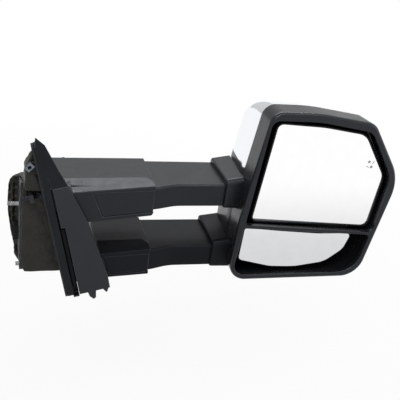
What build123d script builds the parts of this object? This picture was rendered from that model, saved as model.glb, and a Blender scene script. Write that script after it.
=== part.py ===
"""Telescoping car side mirror for a right-hand door: door mount, folding twin sleeves, sliding arms and a two-glass head.

X points outboard from the clamp face, Y forward and Z up. Millimetres. The head is drawn fully extended.
"""
import os
from math import cos, radians, sin

from build123d import *

os.makedirs("parts", exist_ok=True)

# ---------------------------------------------------------------- driving dimensions
wall = 3.0  # moulded plastic wall
part_gap = 0.4  # parting line between neighbouring covers

# fold hinge: the door leans inboard, and so do the pin and everything beside it
lean = radians(13.2)
hinge_x = 57.6  # pin axis at Z = 0
hinge_y = -71.5
pin_r = 2.0
pin_head_r = 3.2
running = 0.05  # radial clearance of a shaft in its bore
knuckle_r = 3.4
knuckle_room = 3.8
groove_half = 3.9  # half the dark groove between flange and cover
knuckle_low = -78.0
knuckle_length = 18.0
knuckle_gap = 0.4
knuckle_count = 5

plate_holes = [(26, -62), (50, -62), (26, 26), (50, 26)]  # forward of the pin and up it
front_holes = [(98, -62), (98, 26)]
screw_r = 2.1

# plate at the root of the arms, beside the pin
root_plate = (groove_half, groove_half + 5.0)
root_plate_rear = 4.0
root_plate_front = 112.0
root_plate_low = -73.6
root_plate_top = 55.0

# door flange
base_back = -13.0  # inboard face, measured outboard from the pin axis
rear_v = -3.5  # rear faces, measured forward from the pin axis
skin = 3.0
fin_foot = 78.0
flange_round = 0.8

# mount block
plate_t = 6.0
block_y = (-34.0, 38.0)
block_z = (-70.0, 66.0)
block_roof = [(-60, 66), (-34, 66), (0, 57), (38, 41), (60, 41)]
foam_y = (-40.0, 43.4)
foam_z = (-73.0, 80.0)
foam_roof = [(-60, 66), (-40, 68), (-34, 74), (-24, 75), (0, 66), (30, 54), (39, 47), (43.4, 38), (60, 10)]
pocket_size = (8.0, 12.0)  # blind pockets that lighten the clamp plate
pocket_sink = 4.2
pocket_rows = {
    52.5: (-27.5, -16.5),
    37.5: (-27.5, -16.5, -5.5, 5.5, 16.5),
    22.5: (-27.5, -16.5, -5.5, 5.5, 16.5, 27.5),
    7.5: (-27.5, -16.5, -5.5, 5.5, 27.5),
    -7.5: (-27.5, -16.5, -5.5, 5.5, 16.5, 27.5),
    -22.5: (-27.5, -16.5, -5.5),
    -37.5: (-27.5, -16.5, -5.5),
    -52.5: (-27.5, -16.5, -5.5, 5.5, 16.5, 27.5),
}
stud_r = 3.0
stud_collar_r = 3.5  # pressed into the bracket
stud_out = 16.0
stud_place = (17, 9)
peg_out = 5.0  # plain locating peg below the stud
peg_place = (-28, -64)
bolt_v = 22.5  # forward of the pin, and up it
bolt_w = 60.0
bolt_u = (-43.0, -17.0)
lug_u = -34.0
lug_t = 6.0
clip_size = (11.3, 7.7)
clip_turn = 47.0  # degrees the clip stands off level
clip_y = (-72.3, -67.3)
clip_bridge = 1.0
tab_y = (-70.8, -68.8)
clip_middle = (9.0, 105.0)
clip_hole_r = 2.6

# sleeves and arms
arm_half = 17.0
arm_levels = {"upper": 50.0, "lower": -50.0}
arm_front = 42.5
arm_rear = -39.0
arm_root_rear = -50.4
arm_wall = 3.5
arm_starts = {"upper": 140.0, "lower": 158.0}
arm_tip = 320.0
jog_start = 183.0
jog_end = 216.0
station_x = (66.0, 176.0)  # where a sleeve's section is given; it changes evenly between and beyond
sleeve_rear = (-66.0, -55.3)
sleeve_crest = (21.6, 24.2)  # heights here are measured from the middle of the arm
sleeve_crest_y = -30.5
facet_foot = (16.4, 20.8)
sleeve_front_top = (20.8, 21.7)
sleeve_floor = {"upper": (-30.6, -24.8), "lower": (-21.5, -21.5)}
sleeve_front = 47.5
sleeve_mouth = {"upper": 181.0, "lower": 183.0}
mouth_bevel = 9.0
mouth_drop = 2.0
lip_round = {"upper": 5.0, "lower": 2.0}
sleeve_corners = {0: 1.5, 1: 1.8, 3: 2, 4: 2, 5: 2}  # radius at each corner of the section
cavity_start = {"upper": 64.5, "lower": 83.0}
cavity_y = (-51.3, 44.8)
cavity_half = 18.8
panel_left = {"upper": (93.5, 109.0), "lower": (113.5, 123.5)}  # X at the top and at the bottom
panel_top = {"upper": 14.5, "lower": 12.5}
panel_floor = {"upper": (-22.7, -18.4), "lower": (-17.0, -16.5)}
panel_gap = 2.0
pocket_depth = 2.4
slide_clear = 0.3
seat_clear = 0.5  # round an arm where it is fixed in the head
bush_length = 12.0
end_bush = 2.0

# head
rim_y = -74.0
band_y = -32.0
opening_plate = 8.0
split_z = 90.0
puddle_place = (420.0, 6.0)
puddle_low = -70.4
puddle_lens_t = 3.4
glass_y = -62.0
glass_t = 2.2
main_pivot = (425.0, -46.0, 90.0)
spot_pivot = (405.0, -46.0, -29.0)
plate_y = -14.0
jack_arm = 28.0
jack_r = 3.5

# ---------------------------------------------------------------- work planes that lean with the door
lean_x = (cos(lean), 0, sin(lean))
lean_z = (-sin(lean), 0, cos(lean))
hinge_frame = Plane(origin=(hinge_x, hinge_y, 0), x_dir=lean_x, z_dir=lean_z)


def across(u):
    """Plane parallel to the door, u outboard of the pin; its own axes point forward and up the pin."""
    return Plane(origin=hinge_frame.from_local_coords((u, 0, 0)), x_dir=(0, 1, 0), z_dir=lean_x)


def level(w):
    """Plane square to the pin, w up it; its own axes point outboard and forward."""
    return Plane(origin=hinge_frame.from_local_coords((0, 0, w)), x_dir=lean_x, z_dir=lean_z)


def facing_rear(v):
    """Plane that faces rearward, v forward of the pin; its own axes point outboard and up the pin."""
    return Plane(origin=hinge_frame.from_local_coords((0, v, 0)), x_dir=lean_x, z_dir=(0, -1, 0))


def door_line(u, z):
    """World X of the leaning plane u at height z."""
    return hinge_x + (u - sin(lean) * z) / cos(lean)


def bar(x, y, z):
    """Box between two corners, as a free solid."""
    size = (x[1] - x[0], y[1] - y[0], z[1] - z[0])
    middle = ((x[0] + x[1]) / 2, (y[0] + y[1]) / 2, (z[0] + z[1]) / 2)
    return Pos(*middle) * Box(*size, mode=Mode.PRIVATE)


def clip_place(along_clip):
    """Middle of the spring clip, moved along its own length."""
    x, z = clip_middle
    return (x + along_clip * cos(radians(clip_turn)), z + along_clip * sin(radians(clip_turn)))


# ---------------------------------------------------------------- door flange with its fin
flange_outline = [(rear_v, -95), (rear_v, 143), (5, 145), (112, 86), (121, 70), (121, -80), (106, -95)]
flange_corners = [8, 6, 8, 30, 12, 12, 12]

fin_outline = [(-13, fin_foot), (-12.4, 110), (-10.5, 147), (-8.2, 153.5), (1.2, 141), (11, 105), (19.3, fin_foot)]
fin_line = [(-11, 140), (-9.6, 140), (-2, fin_foot), (-3.9, fin_foot)]
tab_outline = [(4.0, 98.0), (23.0, 95.0), (23.0, 113.0), (13.0, 113.0), (4.0, 106.0)]
fin_front = [(-13, fin_foot), (-13, 90), (-12.8, 98), (-12, 104), (-9, 106), (-7, 98), (-5, fin_foot)]

with BuildPart() as fin:
    with BuildSketch(facing_rear(rear_v)):
        with BuildLine():
            Polyline(*fin_outline, close=True)
        make_face()
    with BuildSketch(facing_rear(74)):
        with BuildLine():
            Polyline(*fin_front, close=True)
        make_face()
    loft(ruled=True)
    with BuildSketch(facing_rear(rear_v)):
        with BuildLine():
            Polyline(*fin_line, close=True)
        make_face()
    extrude(amount=-2, mode=Mode.SUBTRACT)

# ribs close the groove above and below the hinge, ahead of everything that swings
rib_v = 6.0
rib_t = 3.0
rib_outer = 3.4
upper_rib = [(-groove_half - 1, 39.5), (rib_outer, 39.5), (rib_outer, fin_foot + 1), (-groove_half - 1, fin_foot + 1)]
lower_rib = [(-groove_half - 1, -95), (rib_outer, -95), (rib_outer, -79.2), (-groove_half - 1, -79.2)]
groove_lip = [(-groove_half - 1, -95), (rib_outer, -95), (rib_outer, -93.4), (-groove_half - 1, -93.4)]

with BuildPart() as sail_base:
    with BuildSketch(across(base_back)):
        with BuildLine():
            FilletPolyline(*flange_outline, radius=flange_corners, close=True)
        make_face()
    extrude(amount=-base_back - groove_half)
    for end in (0, -1):
        fillet(sail_base.faces().sort_by(lambda face: face.center().dot(Vector(*lean_x)))[end].edges(), flange_round)
    with BuildSketch(across(base_back)):
        with BuildLine():
            FilletPolyline(*flange_outline, radius=flange_corners, close=True)
        make_face()
        offset(amount=-4)
    extrude(amount=-base_back - groove_half - skin, mode=Mode.SUBTRACT)
    add(fin.part)
    for outline in (upper_rib, lower_rib):
        with BuildSketch(facing_rear(rib_v)):
            with BuildLine():
                Polyline(*outline, close=True)
            make_face()
        extrude(amount=-rib_t)
    with BuildSketch(facing_rear(rear_v)):
        with BuildLine():
            Polyline(*groove_lip, close=True)
        make_face()
    extrude(amount=rear_v - rib_v - 1)
    with BuildSketch(Plane.XZ.offset(-tab_y[0])):
        with BuildLine():
            Polyline(*tab_outline, close=True)
        make_face()
        with Locations(clip_middle):
            Circle(clip_hole_r, mode=Mode.SUBTRACT)
        with Locations(clip_place(-clip_size[0] / 2 - 10 + clip_bridge)):
            Rectangle(20, 40, rotation=clip_turn, mode=Mode.SUBTRACT)
    extrude(amount=tab_y[0] - tab_y[1])
    with BuildSketch(level(knuckle_low - 2)):
        Rectangle(2 * knuckle_room, 2 * knuckle_room)
    extrude(amount=knuckle_count * (knuckle_length + knuckle_gap) + 4, mode=Mode.SUBTRACT)
    with BuildSketch(across(-groove_half - skin - 1)):
        with Locations(*plate_holes, *front_holes):
            Circle(screw_r)
    extrude(amount=skin + 2, mode=Mode.SUBTRACT)
sail_base.part.label = "sail_base"

with BuildPart() as door_seal:
    with BuildSketch(across(base_back - 3)):
        with BuildLine():
            FilletPolyline(*flange_outline, radius=flange_corners, close=True)
        make_face()
        offset(amount=-0.6)
    extrude(amount=3)
    with BuildSketch(across(base_back - 3)):
        with BuildLine():
            FilletPolyline(*flange_outline, radius=flange_corners, close=True)
        make_face()
        offset(amount=-3.8)
    extrude(amount=3, mode=Mode.SUBTRACT)
door_seal.part.label = "door_seal"

# ---------------------------------------------------------------- cast bracket that the studs clamp
bracket_face = -groove_half - skin
bracket_back = bracket_face - 4.0
with BuildPart() as base_bracket:
    with BuildSketch(Plane.XZ.offset(-block_y[0])):
        with BuildLine():
            Polyline(
                (0, block_z[0]),
                (0, block_z[1]),
                (door_line(bracket_face - 1, block_z[1]), block_z[1]),
                (door_line(bracket_face - 1, block_z[0]), block_z[0]),
                close=True,
            )
        make_face()
    extrude(amount=-(block_y[1] - block_y[0]))
    with BuildSketch(Plane.XZ.offset(-block_y[0])):
        with BuildLine():
            Polyline(
                (plate_t, block_z[0] - 1),
                (plate_t, block_z[1] + 1),
                (door_line(bracket_back, block_z[1] + 1), block_z[1] + 1),
                (door_line(bracket_back, block_z[0] - 1), block_z[0] - 1),
                close=True,
            )
        make_face()
    extrude(amount=-(block_y[1] - block_y[0]), mode=Mode.SUBTRACT)
    for rib_y in (block_y[0], -1.0, block_y[1] - 4):
        with BuildSketch(Plane.XZ.offset(-rib_y)):
            with BuildLine():
                Polyline(
                    (plate_t - 1, block_z[0]),
                    (plate_t - 1, block_z[1]),
                    (door_line(bracket_back + 1, block_z[1]), block_z[1]),
                    (door_line(bracket_back + 1, block_z[0]), block_z[0]),
                    close=True,
                )
            make_face()
        extrude(amount=-4)
    with BuildSketch(across(bracket_back)):
        with Locations((60, -6)):
            RectangleRounded(100, 146, 8)
    extrude(amount=bracket_face - bracket_back)
    with BuildSketch(across(lug_u)):
        with Locations((bolt_v + 5, bolt_w)):
            Rectangle(22, 12)
    extrude(amount=lug_t)
    with BuildSketch(Plane.YZ.offset(-1)):
        with BuildLine():
            Polyline(*block_roof, (60, 100), (-60, 100), close=True)
        make_face()
    extrude(amount=100, mode=Mode.SUBTRACT)
    with BuildSketch(across(lug_u - 1)):
        with Locations((bolt_v, bolt_w)):
            Circle(stud_r)
    extrude(amount=lug_t + 2, mode=Mode.SUBTRACT)
    with Locations(Plane.YZ):
        with Locations(stud_place, peg_place):
            Hole(stud_collar_r, depth=40)
    add(bar((-1, plate_t + 1), (7.8, 30.2), (-45.2, -24.8)), mode=Mode.SUBTRACT)
    with BuildSketch(Plane.YZ):
        for pocket_z, row in pocket_rows.items():
            with Locations(*[(pocket_y, pocket_z) for pocket_y in row]):
                RectangleRounded(*pocket_size, 1.5)
    extrude(amount=pocket_sink, mode=Mode.SUBTRACT)
    with BuildSketch(across(bracket_back - 1)):
        with Locations(*plate_holes, *front_holes):
            Circle(screw_r)
    extrude(amount=6, mode=Mode.SUBTRACT)
base_bracket.part.label = "base_bracket"

with BuildPart() as mounting_studs:
    for (stud_y, stud_z), out in ((stud_place, stud_out), (peg_place, peg_out)):
        with BuildSketch(Plane(origin=(-out, stud_y, stud_z), x_dir=(0, 1, 0), z_dir=(1, 0, 0))):
            Circle(stud_r)
        extrude(amount=out)
        with BuildSketch(Plane(origin=(0, stud_y, stud_z), x_dir=(0, 1, 0), z_dir=(1, 0, 0))):
            Circle(stud_collar_r)
        extrude(amount=plate_t)
    with BuildSketch(Plane(origin=(plate_t, *stud_place), x_dir=(0, 1, 0), z_dir=(1, 0, 0))):
        RegularPolygon(radius=6, side_count=6)
    extrude(amount=4)
mounting_studs.part.label = "mounting_studs"

# foam block round the bracket, with a tongue that runs up the fin
foam_back = base_back - 0.2
foam_left = [(5.6, -73), (0.5, -52), (0, 0), (0.5, 60), (3, 72), (10, 78)]
nose_reach = -16.7
nose_left = [
    (8, -73), (-6.3, -73), (-9.5, -58), (-13.1, -34), (-15.5, -15), (nose_reach, 6),
    (-15.8, 24), (-13.2, 37), (-9.5, 42.5), (-5, 46.5), (4.8, 53), (8, 57)
]
tongue_left = [(2, 66), (2.4, 97), (4.3, 106.5), (7.2, 116.5), (13.8, 129), (20.4, 141)]
tongue_outline = [(6, 60), (6, 136), (9, 137), (30, 120), (46, 100), (46, 60)]

with BuildPart() as foam_tongue:
    with BuildSketch(across(foam_back - 24)):
        with BuildLine():
            Polyline(*tongue_outline, close=True)
        make_face()
    extrude(amount=24)
    with BuildSketch(Plane.XZ.offset(-foam_y[1])):
        with BuildLine():
            Polyline(*tongue_left, (60, 141), (60, 66), close=True)
        make_face()
    extrude(amount=150, mode=Mode.INTERSECT)

# at the front the foam reaches past the clamp face, most of all at mid height
with BuildPart() as foam_nose:
    with BuildSketch(Plane.XZ.offset(-foam_y[0])):
        with BuildLine():
            Polyline(*nose_left, close=True)
        make_face()
    extrude(amount=-(foam_y[1] - foam_y[0]))
    with BuildSketch(Plane.XY.offset(foam_z[0])):
        with BuildLine():
            Polyline((8, foam_y[0]), (nose_reach, foam_y[1]), (8, foam_y[1]), close=True)
        make_face()
    extrude(amount=foam_z[1] - foam_z[0], mode=Mode.INTERSECT)

with BuildPart() as foam_gasket:
    with BuildSketch(Plane.XZ.offset(-foam_y[0])):
        with BuildLine():
            Polyline(
                *foam_left,
                (door_line(foam_back, foam_z[1]), foam_z[1]),
                (door_line(foam_back, foam_z[0]), foam_z[0]),
                close=True,
            )
        make_face()
    extrude(amount=-(foam_y[1] - foam_y[0]))
    add(foam_nose.part)
    with BuildSketch(Plane.YZ.offset(-20)):
        with BuildLine():
            Polyline(*foam_roof, (60, 200), (-60, 200), close=True)
        make_face()
    extrude(amount=120, mode=Mode.SUBTRACT)
    add(foam_tongue.part)
    with BuildSketch(Plane.YZ.offset(-30)):
        with BuildLine():
            Polyline(
                (block_y[0] - 0.2, block_z[0] - 0.2),
                *[(y, z + 0.2) for y, z in block_roof[1:4]],
                (block_y[1] + 0.2, block_roof[3][1]),
                (block_y[1] + 0.2, block_z[0] - 0.2),
                close=True,
            )
        make_face()
    extrude(amount=120, mode=Mode.SUBTRACT)
    with BuildSketch(across(lug_u - 0.4)):
        with Locations((bolt_v + 4, bolt_w)):
            Rectangle(26, 12.8)
    extrude(amount=lug_t + 0.8, mode=Mode.SUBTRACT)
    with BuildSketch(across(bolt_u[0] - 4)):
        with Locations((bolt_v, bolt_w)):
            Circle(6.2)
    extrude(amount=bolt_u[1] - bolt_u[0] + 8, mode=Mode.SUBTRACT)
foam_gasket.part.label = "foam_gasket"

with BuildPart() as captive_bolt:
    with BuildSketch(across(bolt_u[0])):
        with Locations((bolt_v, bolt_w)):
            Circle(stud_r)
    extrude(amount=bolt_u[1] - bolt_u[0] - 4)
    with BuildSketch(across(bolt_u[1] - 4)):
        with Locations((bolt_v, bolt_w)):
            RegularPolygon(radius=5.5, side_count=6)
    extrude(amount=4)
captive_bolt.part.label = "captive_bolt"

with BuildPart() as u_nut:
    with BuildSketch(Plane.XZ.offset(-clip_y[0])):
        with Locations(clip_middle):
            Rectangle(*clip_size, rotation=clip_turn)
    extrude(amount=clip_y[0] - clip_y[1])
    with BuildSketch(Plane.XZ.offset(-tab_y[0])):
        with Locations(clip_place(clip_bridge)):
            Rectangle(clip_size[0], clip_size[1] + 2, rotation=clip_turn)
    extrude(amount=tab_y[0] - tab_y[1], mode=Mode.SUBTRACT)
    with BuildSketch(Plane.XZ.offset(-clip_y[0] + 1)):
        with Locations(clip_middle):
            Circle(clip_hole_r)
    extrude(amount=-8, mode=Mode.SUBTRACT)
u_nut.part.label = "u_nut"

with BuildPart() as harness_connector:
    add(bar((-7, 12), (8, 30), (-45, -25)))
    add(bar((-8, 6), (10, 28), (-43, -27)), mode=Mode.SUBTRACT)
    with Locations(Plane.YZ.offset(12)):
        with Locations((19, -35)):
            with GridLocations(5, 6, 3, 2):
                Hole(0.6, depth=8)
harness_connector.part.label = "harness_connector"

with BuildPart() as connector_pins:
    with BuildSketch(Plane.YZ):
        with Locations((19, -35)):
            with GridLocations(5, 6, 3, 2):
                Circle(0.6)
    extrude(amount=16)
connector_pins.part.label = "connector_pins"

# ---------------------------------------------------------------- fold hinge
def knuckle_span(index):
    """Lower end of a knuckle, counted up the pin."""
    return knuckle_low + index * (knuckle_length + knuckle_gap)


def hinge_leaf(side, first):
    """One leaf of the hinge: side is -1 on the door and +1 on the arm; first is its lowest knuckle."""
    inner = 1.2 * side
    outer = groove_half * side
    low = min(inner, outer)
    with BuildPart() as leaf:
        with BuildSketch(across(low)):
            with Locations((34, -20.5)):
                RectangleRounded(54, 117, 4)
        extrude(amount=abs(outer - inner))
        for index in range(first, knuckle_count, 2):
            foot = knuckle_span(index)
            with BuildSketch(level(foot)):
                Circle(knuckle_r)
                with BuildLine():
                    Polyline((inner, 0), (outer, 0), (outer, 8), (inner, 8), close=True)
                make_face()
            extrude(amount=knuckle_length)
        bore = pin_r if side < 0 else pin_r + running
        with BuildSketch(level(knuckle_low - 1)):
            Circle(bore)
        extrude(amount=knuckle_count * (knuckle_length + knuckle_gap) + 2, mode=Mode.SUBTRACT)
        with BuildSketch(across(low - 1)):
            with Locations(*plate_holes):
                Circle(screw_r)
        extrude(amount=6, mode=Mode.SUBTRACT)
    return leaf


base_leaf = hinge_leaf(-1, 0)
base_leaf.part.label = "base_hinge_leaf"
arm_leaf = hinge_leaf(1, 1)
arm_leaf.part.label = "arm_hinge_leaf"

pin_low = knuckle_low
pin_high = knuckle_span(knuckle_count - 1) + knuckle_length
with BuildPart() as hinge_pin:
    with BuildSketch(level(pin_low)):
        Circle(pin_r)
    extrude(amount=pin_high - pin_low)
    with BuildSketch(level(pin_high)):
        Circle(pin_head_r)
    extrude(amount=2)
hinge_pin.part.label = "hinge_pin"

with BuildPart() as friction_washers:
    for index in range(1, knuckle_count):
        with BuildSketch(level(knuckle_span(index) - knuckle_gap + running)):
            Circle(knuckle_r)
            Circle(pin_r, mode=Mode.SUBTRACT)
        extrude(amount=knuckle_gap - 2 * running)
friction_washers.part.label = "friction_washers"


def screws(plane, places, length, head_r, head_h):
    """Group of like screws: each head starts on the plane and its shank goes down from it."""
    with BuildPart() as group:
        with BuildSketch(plane):
            with Locations(*places):
                Circle(head_r)
        extrude(amount=head_h)
        with BuildSketch(plane):
            with Locations(*places):
                Circle(screw_r)
        extrude(amount=-length)
    return group


base_screws = screws(across(-1.2), plate_holes, 11.7, 4, 0.9)
front_screws = screws(across(-groove_half), front_holes, 9, 4, 2)
base_screws.part.label = "base_screws"
front_screws.part.label = "front_screws"

# ---------------------------------------------------------------- rear cover that folds with the arms
cover_front_v = 116.0
cover_low = -93.0
cover_round = 1.5
cover_feet = [
    [(15, -90), (17, -99.5), (21.8, -105.8), (25.4, -103.5), (27.7, -90)],
    [(36, -90), (41.6, -100.2), (47.3, -88)],
]


def cover_profile(inset):
    """Rear view of the sail cover: outboard of the pin and up it."""
    return [
        (groove_half, cover_low + inset),
        (groove_half, fin_foot - part_gap - inset),
        (19.3 - inset, fin_foot - part_gap - inset),
        (22.8 - inset, 66.5 - inset / 2),
        (35.4 - inset, 18.7),
        (47.6 - inset, -73),
        (47.6 - inset, cover_low + inset),
    ]


cover_roof = [(0, 77.6), (16, 67.5), (140, 67.5), (140, 100), (0, 100)]  # cut away above this line
cover_corner = [(30, 125), (80, 125), (80, -1.5), (46, 40)]  # cut away at the front
cover_lip = [(groove_half + 1, 18.4), (-1.4, 18.4), (-1.4, fin_foot - part_gap), (groove_half + 1, fin_foot - part_gap)]


def cover_solid(inset):
    """Solid form of the sail cover, or of the room inside it."""
    with BuildPart() as form:
        with BuildSketch(facing_rear(rear_v + inset)):
            with BuildLine():
                Polyline(*cover_profile(inset), close=True)
            make_face()
        extrude(amount=-(cover_front_v - rear_v - 2 * inset))
        if inset == 0:
            rear_face = form.faces().sort_by(Axis.Y)[0]
            outboard = rear_face.edges().filter_by(lambda edge: edge.center().X > door_line(15, edge.center().Z))
            fillet(outboard, cover_round)
        with BuildSketch(across(-5)):
            with BuildLine():
                Polyline(*[(v, w - inset) for v, w in cover_roof], close=True)
            make_face()
        extrude(amount=70, mode=Mode.SUBTRACT)
        with BuildSketch(level(-110)):
            with BuildLine():
                Polyline(*[(u - inset, v - inset) for u, v in cover_corner], close=True)
            make_face()
        extrude(amount=220, mode=Mode.SUBTRACT)
    return form


with BuildPart() as cover_shell:
    add(cover_solid(0).part)
    add(cover_solid(wall).part, mode=Mode.SUBTRACT)
    with BuildSketch(facing_rear(root_plate_rear)):
        with Locations((0, -8)):
            Rectangle(16, 132)
    extrude(amount=-(cover_front_v - root_plate_rear - wall), mode=Mode.SUBTRACT)
    with BuildSketch(facing_rear(rear_v)):
        with BuildLine():
            Polyline(*cover_lip, close=True)
        make_face()
    extrude(amount=-wall)
    with BuildSketch(level(knuckle_low - 2)):
        Circle(knuckle_room)
    extrude(amount=knuckle_count * (knuckle_length + knuckle_gap) + 4, mode=Mode.SUBTRACT)
    with BuildSketch(facing_rear(rear_v)):
        for foot in cover_feet:
            with BuildLine():
                FilletPolyline(*foot, radius=[0] + [1.5] * (len(foot) - 2) + [0], close=True)
            make_face()
    extrude(amount=-wall)

# ---------------------------------------------------------------- twin sleeves


def along(pair, x):
    """Value at x of something given at the two stations."""
    share = (x - station_x[0]) / (station_x[1] - station_x[0])
    return pair[0] + share * (pair[1] - pair[0])


def sleeve_section(side, x):
    """Section of a sleeve at x: a crest with a bright rear facet and a gently falling top."""
    z = arm_levels[side]
    rear = along(sleeve_rear, x)
    floor = z + along(sleeve_floor[side], x)
    front_top = z + along(sleeve_front_top, x)
    return [
        (rear, floor),
        (rear, z + along(facet_foot, x)),
        (sleeve_crest_y, z + along(sleeve_crest, x)),
        (sleeve_front - 5, front_top),
        (sleeve_front, front_top - 5),
        (sleeve_front, floor),
    ]


def sleeve_shape(side):
    """Solid outer shape of a sleeve, from its root plate to its mouth, bevelled above and rounded below."""
    mouth = sleeve_mouth[side]
    z = arm_levels[side]
    top = z + along(sleeve_crest, mouth)
    floor = z + along(sleeve_floor[side], mouth)
    lip = lip_round[side]
    with BuildPart() as shape:
        for x in (40, mouth):
            section = sleeve_section(side, x)
            with BuildSketch(Plane(origin=(x, 0, 0), x_dir=(0, 1, 0), z_dir=(1, 0, 0))):
                with BuildLine():
                    Polyline(*section, close=True)
                make_face()
                for corner, radius in sleeve_corners.items():
                    fillet(vertices().sort_by_distance(section[corner])[0], radius)
        loft(ruled=True)
        split(bisect_by=across(root_plate[0]), keep=Keep.TOP)
        with BuildSketch(across(root_plate[0] - 1)):
            with Locations((60, root_plate_top + part_gap - 120)):
                Rectangle(240, 240)
        extrude(amount=root_plate[1] - root_plate[0] + 1, mode=Mode.SUBTRACT)
        with BuildSketch(Plane.XZ.offset(90)):
            with BuildLine():
                Polyline((mouth - mouth_bevel, top), (mouth + 1, top - mouth_drop), (mouth + 1, top + 9), close=True)
            make_face()
        extrude(amount=-180, mode=Mode.SUBTRACT)
        with BuildSketch(Plane.XZ.offset(90)):
            with BuildLine():
                Polyline(
                    (mouth - lip, floor - 0.4),
                    (mouth - 0.35 * lip, floor + 0.25 * lip),
                    (mouth + 0.3, floor + lip),
                    (mouth + 1, floor - 6),
                    (mouth - lip, floor - 6),
                    close=True,
                )
            make_face()
        extrude(amount=-180, mode=Mode.SUBTRACT)
    return shape


def sleeve_cavity(side):
    """Room inside a sleeve for its arm."""
    z = arm_levels[side]
    return bar((cavity_start[side], 260), cavity_y, (z - cavity_half, z + cavity_half))


rear_run = station_x[1] - station_x[0]
rear_rise = sleeve_rear[1] - sleeve_rear[0]
panel_plane = Plane(
    origin=(0, along(sleeve_rear, 0), 0), x_dir=(rear_run, rear_rise, 0), z_dir=(rear_rise, -rear_run, 0)
)


def panel_shape(side, face, gap, end, depth):
    """Panel let into a sleeve's rear face: its pocket, or the panel itself with a gap round it."""
    z = arm_levels[side]
    left_top, left_foot = panel_left[side]
    floor_left, floor_right = panel_floor[side]
    top = z + panel_top[side]
    with BuildPart() as shape:
        with BuildSketch(panel_plane.offset(face)):
            with BuildLine():
                Polyline(
                    (left_top + gap, top),
                    (left_foot + gap, z + floor_left + gap),
                    (end, z + floor_right + gap),
                    (end, top),
                    close=True,
                )
            make_face()
        extrude(amount=-depth)
    return shape


def make_sleeve(side):
    """Outer sleeve: its shell, the cavity and the pocket of its rear panel."""
    with BuildPart() as sleeve:
        add(sleeve_shape(side).part)
        add(sleeve_cavity(side), mode=Mode.SUBTRACT)
        add(panel_shape(side, 2, 0, sleeve_mouth[side] + 5, pocket_depth + 2).part, mode=Mode.SUBTRACT)
    return sleeve


def make_panel(side):
    """Panel that lies on the floor of its pocket, just below the sleeve's face."""
    return panel_shape(side, -part_gap, panel_gap, sleeve_mouth[side] - 0.5, pocket_depth - part_gap)


upper_sleeve = make_sleeve("upper")
upper_sleeve.part.label = "upper_sleeve"
lower_sleeve = make_sleeve("lower")
lower_sleeve.part.label = "lower_sleeve"
upper_sleeve_insert = make_panel("upper")
upper_sleeve_insert.part.label = "upper_sleeve_insert"
lower_sleeve_insert = make_panel("lower")
lower_sleeve_insert.part.label = "lower_sleeve_insert"

with BuildPart() as arm_root_plate:
    with BuildSketch(across(root_plate[0])):
        with Locations(((root_plate_rear + root_plate_front) / 2, (root_plate_low + root_plate_top) / 2)):
            RectangleRounded(root_plate_front - root_plate_rear, root_plate_top - root_plate_low, 10)
    extrude(amount=root_plate[1] - root_plate[0])
    with BuildSketch(across(root_plate[0] - 1)):
        with Locations(*plate_holes):
            Circle(screw_r)
        with Locations((85, -50), (85, 0), (85, 45)):
            SlotOverall(30, 16)
    extrude(amount=8, mode=Mode.SUBTRACT)
arm_root_plate.part.label = "arm_root_plate"

arm_screws = screws(across(1.2), plate_holes, -7.7, 4, -0.9)
arm_screws.part.label = "arm_screws"

with BuildPart() as sail_cover:
    add(cover_shell.part)
    add(sleeve_shape("upper").part, mode=Mode.SUBTRACT)
    add(sleeve_shape("lower").part, mode=Mode.SUBTRACT)
    add(arm_root_plate.part, mode=Mode.SUBTRACT)
sail_cover.part.label = "sail_cover"

with BuildPart() as sleeve_bushes:
    for side, z in arm_levels.items():
        end = sleeve_mouth[side] - 1
        add(bar((end - bush_length, end), cavity_y, (z - cavity_half, z + cavity_half)))
        add(
            bar(
                (end - bush_length - 1, end + 1),
                (arm_root_rear - slide_clear, arm_front + slide_clear),
                (z - arm_half - slide_clear, z + arm_half + slide_clear),
            ),
            mode=Mode.SUBTRACT,
        )
sleeve_bushes.part.label = "sleeve_bushes"


# ---------------------------------------------------------------- sliding arms
def arm_plan(side, inset, over):
    """Plan of an arm: wide where it runs in its sleeve, then stepped in at the rear."""
    return [
        (arm_starts[side] - over, arm_front - inset),
        (arm_starts[side] - over, arm_root_rear + inset),
        (jog_start, arm_root_rear + inset),
        (jog_end, arm_rear + inset),
        (arm_tip + over, arm_rear + inset),
        (arm_tip + over, arm_front - inset),
    ]


def make_arm(side):
    """Hollow arm, open at both ends."""
    z = arm_levels[side]
    corners = [0, 0, 60, 60, 0, 0]
    with BuildPart() as arm:
        with BuildSketch(Plane.XY.offset(z - arm_half)):
            with BuildLine():
                FilletPolyline(*arm_plan(side, 0, 0), radius=corners, close=True)
            make_face()
        extrude(amount=2 * arm_half)
        top_edges = arm.faces().sort_by(Axis.Z)[-1].edges()
        rear_edges = top_edges.filter_by(lambda edge: edge.center().Y < 0 and edge.length > 8)
        chamfer(rear_edges.filter_by(lambda edge: abs(edge.tangent_at(0.5).Y) < 0.9), 2.5)
        with BuildSketch(Plane.XY.offset(z - arm_half + arm_wall)):
            with BuildLine():
                FilletPolyline(*arm_plan(side, arm_wall, 1), radius=corners, close=True)
            make_face()
        extrude(amount=2 * (arm_half - arm_wall), mode=Mode.SUBTRACT)
    return arm


upper_arm = make_arm("upper")
upper_arm.part.label = "upper_arm"
lower_arm = make_arm("lower")
lower_arm.part.label = "lower_arm"

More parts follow.
